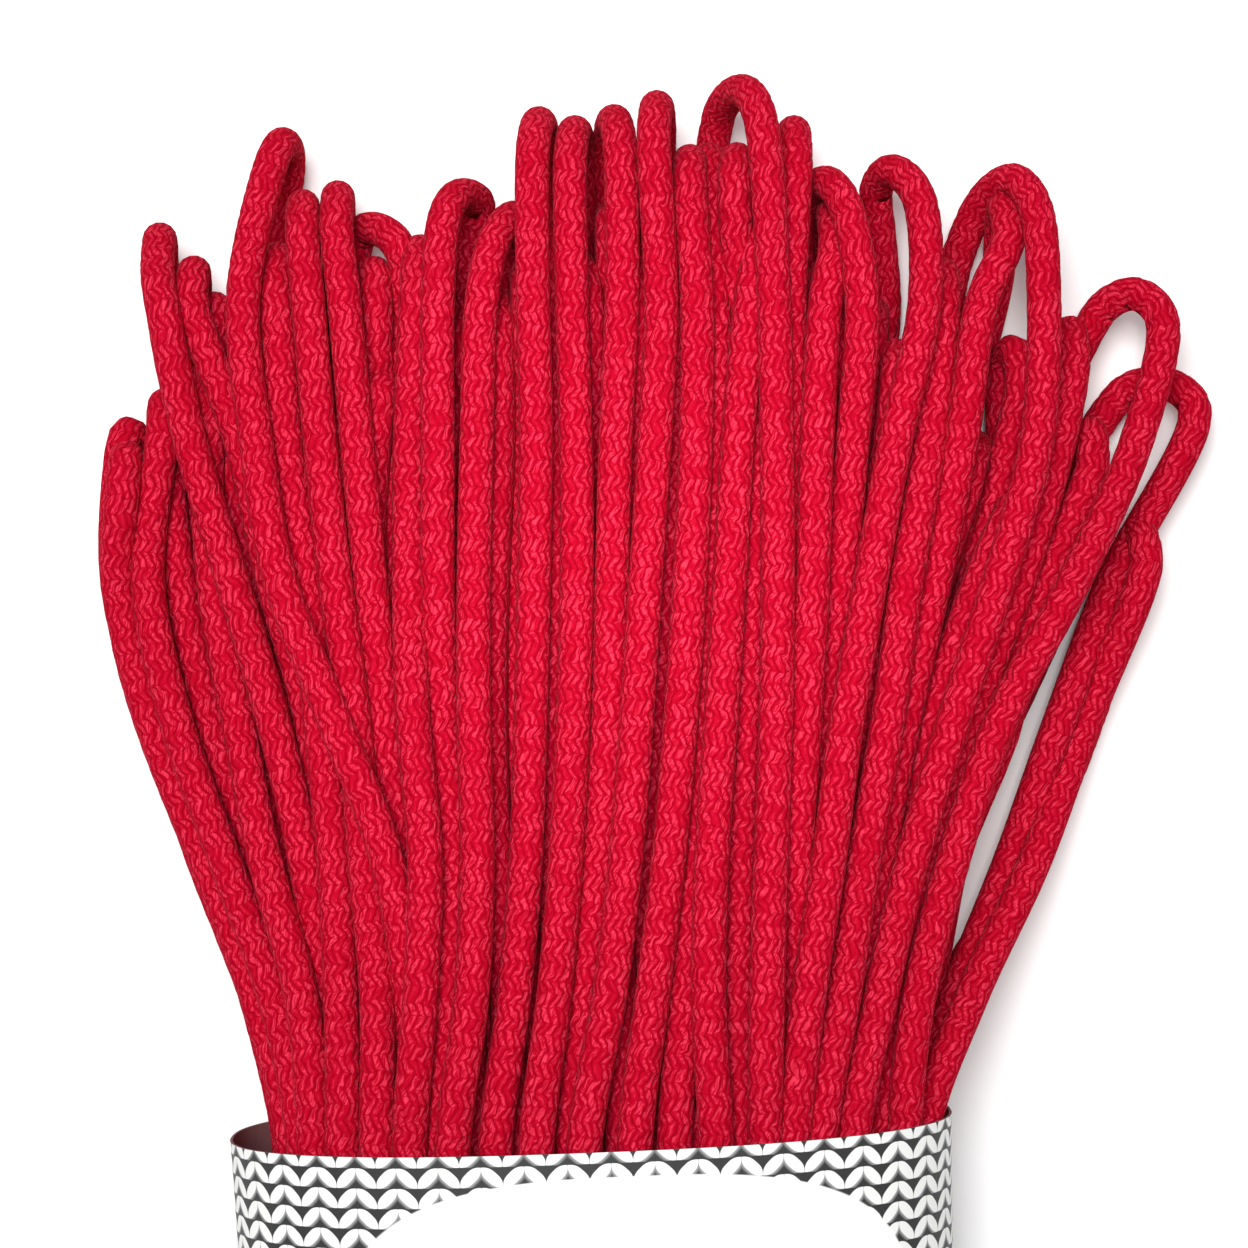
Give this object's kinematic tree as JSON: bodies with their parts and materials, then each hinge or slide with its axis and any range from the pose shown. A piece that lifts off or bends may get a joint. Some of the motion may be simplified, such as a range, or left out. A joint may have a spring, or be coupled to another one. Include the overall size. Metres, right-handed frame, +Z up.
{
  "type": "hank of braided cotton cord in a paper band",
  "caption": "Hank of thick braided cotton cord in long loops, held at the waist by a wrapped paper band, lying flat on its back.",
  "frame": {"origin": "centre of the paper band's flat back, on the table that the hank lies on", "axes": "+Z up from the table, through the hank; +Y along the loops, towards the open fan of crowns; +X across the hank, to the right"},
  "size_m": [0.1566, 0.3487, 0.052],
  "materials": {
    "cotton_cord": "matt braided cotton",
    "printed_paper": "smooth printed paper"
  },
  "bodies": {
    "root": {"hank": "cotton_cord", "band": "printed_paper"}
  },
  "joints": []
}
